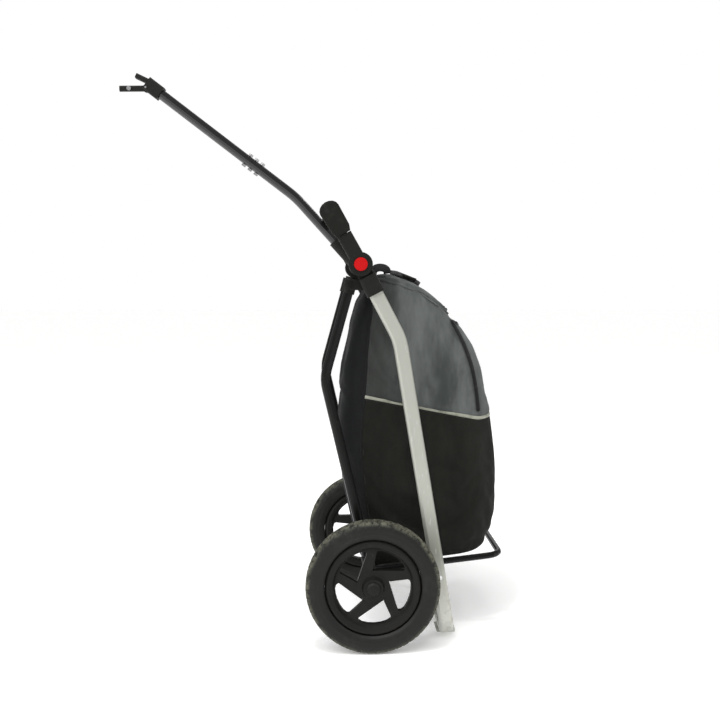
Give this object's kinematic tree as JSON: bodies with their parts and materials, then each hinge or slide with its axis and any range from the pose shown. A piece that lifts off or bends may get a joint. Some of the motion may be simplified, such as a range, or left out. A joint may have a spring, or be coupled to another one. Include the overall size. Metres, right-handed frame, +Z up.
{
  "type": "shopping trolley bag on folding cart",
  "caption": "Soft upright bag on a folding A-frame cart with air wheels, a loop foot, a wire tray, a fold-down handle and a bent towing drawbar with a clamp hitch.",
  "frame": {"origin": "on the ground, under the middle of the bounding box", "axes": "+X towards the front of the bag and the tray, the drawbar runs towards -X; +Z up; Y along the wheel axle, left wheel at -Y"},
  "size_m": [0.8752, 0.5626, 1.2749],
  "materials": {
    "silver": "satin anodised",
    "steel": "zinc plated",
    "black_paint": "black powder coat, semi gloss",
    "black_gloss": "black gloss enamel on aluminium tube",
    "moulded": "black moulded nylon",
    "gripper": "soft black grip",
    "tyre": "worn black tyre",
    "red": "red button",
    "slate_cloth": "slate polyester over black",
    "webbing": "black webbing",
    "reflective": "light grey reflective piping",
    "zip": "black zip",
    "board": "black sheet"
  },
  "bodies": {
    "frame": {"frame_tube": "silver", "joint_socket_left": "moulded", "joint_socket_right": "moulded", "top_crossbar": "black_paint", "tray_support": "silver", "support_rivet_left": "steel", "support_rivet_right": "steel", "foot_pad_left": "moulded", "foot_pad_right": "moulded", "drawbar_socket": "moulded", "clamp_screw": "steel", "bag_shell": "slate_cloth", "base_board": "board", "bag_piping": "reflective", "front_zip": "zip", "hang_loop_left": "webbing", "hang_loop_right": "webbing"},
    "legs": {"rear_leg_left": "black_paint", "rear_leg_right": "black_paint", "leg_cap_left": "moulded", "leg_cap_right": "moulded", "pivot_bolt_left": "steel", "pivot_bolt_right": "steel", "axle_bracket_left": "moulded", "axle_bracket_right": "moulded", "axle_tube": "black_paint", "axle_rod": "steel"},
    "tray": {"tray_loop": "black_paint"},
    "wheel_left": {"wheel_rim_left": "moulded", "tyre_left": "tyre", "bearing_inner_left": "steel", "bearing_outer_left": "steel", "hub_cap_left": "moulded"},
    "wheel_right": {"wheel_rim_right": "moulded", "tyre_right": "tyre", "bearing_inner_right": "steel", "bearing_outer_right": "steel", "hub_cap_right": "moulded"},
    "handle": {"handle_arm_left": "moulded", "handle_arm_right": "moulded", "grip_end_left": "gripper", "grip_end_right": "gripper", "grip_core": "black_paint", "grip_sleeve": "gripper"},
    "button_left": {"button_left": "red"},
    "button_right": {"button_right": "red"},
    "drawbar": {"drawbar_lower": "black_gloss", "drawbar_upper": "black_gloss", "drawbar_splice": "black_paint", "splice_bolt_1": "steel", "splice_bolt_2": "steel", "splice_bolt_3": "steel", "hitch_block": "moulded", "hitch_pin": "steel"},
    "hitch_jaw": {"hitch_jaw": "moulded", "jaw_stud": "steel"},
    "lid": {"bag_lid": "slate_cloth", "lid_strap": "webbing", "lid_buckle": "moulded", "carry_loop": "webbing"}
  },
  "joints": [
    {"name": "leg_fold", "type": "hinge", "parent": "frame", "child": "legs", "pos_m": [0.08866, 0, 0.7916], "axis": [0, -1, 0], "range_deg": [0, 6.5]},
    {"name": "tray_follow", "type": "hinge", "parent": "legs", "child": "tray", "pos_m": [0.13476, 0, 0.145], "axis": [0, -1, 0], "range_deg": [-6.5, 0]},
    {"name": "wheel_spin_left", "type": "hinge", "parent": "legs", "child": "wheel_left", "pos_m": [0.13476, -0.25, 0.145], "axis": [0, 1, 0], "continuous": true},
    {"name": "wheel_spin_right", "type": "hinge", "parent": "legs", "child": "wheel_right", "pos_m": [0.13476, 0.25, 0.145], "axis": [0, 1, 0], "continuous": true},
    {"name": "handle_fold", "type": "hinge", "parent": "frame", "child": "handle", "pos_m": [0.11026, 0, 0.835], "axis": [0, 1, 0], "range_deg": [0, 50]},
    {"name": "button_press_left", "type": "slide", "parent": "handle", "child": "button_left", "axis": [0, 1, 0], "range_m": [0, 0.004], "stiffness_N_per_m": 400},
    {"name": "button_press_right", "type": "slide", "parent": "handle", "child": "button_right", "axis": [0, -1, 0], "range_m": [0, 0.004], "stiffness_N_per_m": 400},
    {"name": "drawbar_pull", "type": "slide", "parent": "frame", "child": "drawbar", "axis": [-0.6704, 0, 0.742], "range_m": [0, 0.045]},
    {"name": "jaw_close", "type": "hinge", "parent": "drawbar", "child": "hitch_jaw", "pos_m": [-0.37556, 0, 1.24188], "axis": [0, 1, 0], "range_deg": [-15, 8]},
    {"name": "lid_open", "type": "hinge", "parent": "frame", "child": "lid", "pos_m": [0.12903, 0, 0.79755], "axis": [0, -1, 0], "range_deg": [0, 32]}
  ],
  "couplings": [
    {"joint": "tray_follow", "follows": "leg_fold", "ratio": -1}
  ]
}
